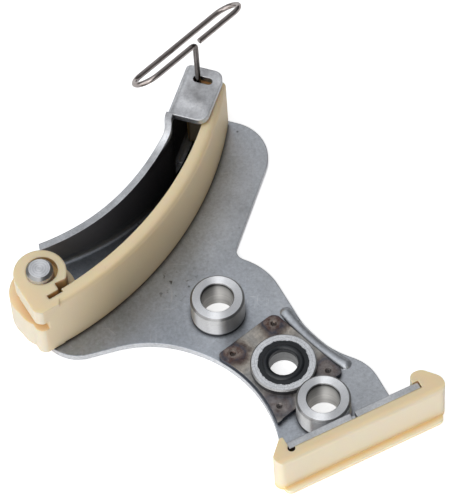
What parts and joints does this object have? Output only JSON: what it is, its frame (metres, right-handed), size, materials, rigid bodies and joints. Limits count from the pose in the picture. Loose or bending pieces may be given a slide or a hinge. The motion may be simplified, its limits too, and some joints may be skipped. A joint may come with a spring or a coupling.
{
  "type": "timing chain tensioner",
  "caption": "Folded steel bracket with a pivoted, sprung nylon tensioner blade, a straight clip-on nylon guide shoe, bolt sleeves, a sealed oil feed ring and a wire lock pin.",
  "frame": {"origin": "on the axis of the oil feed ring, at the flat back face of the bracket", "axes": "+Z out of the back face towards the sleeve tops, +X along the straight guide shoe"},
  "size_m": [0.0885, 0.1227, 0.0414],
  "materials": {
    "bracket_steel": "plain rolled sheet, satin",
    "pin_steel": "turned",
    "sleeve_steel": "turned, bright",
    "plate_steel": "heat-tinted sheet",
    "ring_steel": "turned, satin",
    "seal_rubber": "moulded, matt",
    "shoe_nylon": "natural moulded nylon",
    "blade_nylon": "natural moulded nylon",
    "spring_steel": "rolled strip",
    "wire_steel": "drawn wire, dark"
  },
  "bodies": {
    "frame": {"bracket": "bracket_steel", "pivot_pin": "pin_steel", "upper_sleeve": "sleeve_steel", "lower_sleeve": "sleeve_steel", "weld_plate": "plate_steel", "feed_ring": "ring_steel", "feed_seal": "seal_rubber", "guide_shoe": "shoe_nylon"},
    "blade": {"tensioner_blade": "blade_nylon", "leaf_spring": "spring_steel"},
    "pull_pin": {"lock_pin": "wire_steel"}
  },
  "joints": [
    {"name": "blade_swing", "type": "hinge", "parent": "frame", "child": "blade", "pos_m": [-0.0468, 0.0447, 0], "axis": [0, 0, -1], "range_deg": [0, 6]},
    {"name": "lock_pin_pull", "type": "slide", "parent": "frame", "child": "pull_pin", "axis": [0, 0, 1], "range_m": [0, 0.03]}
  ]
}
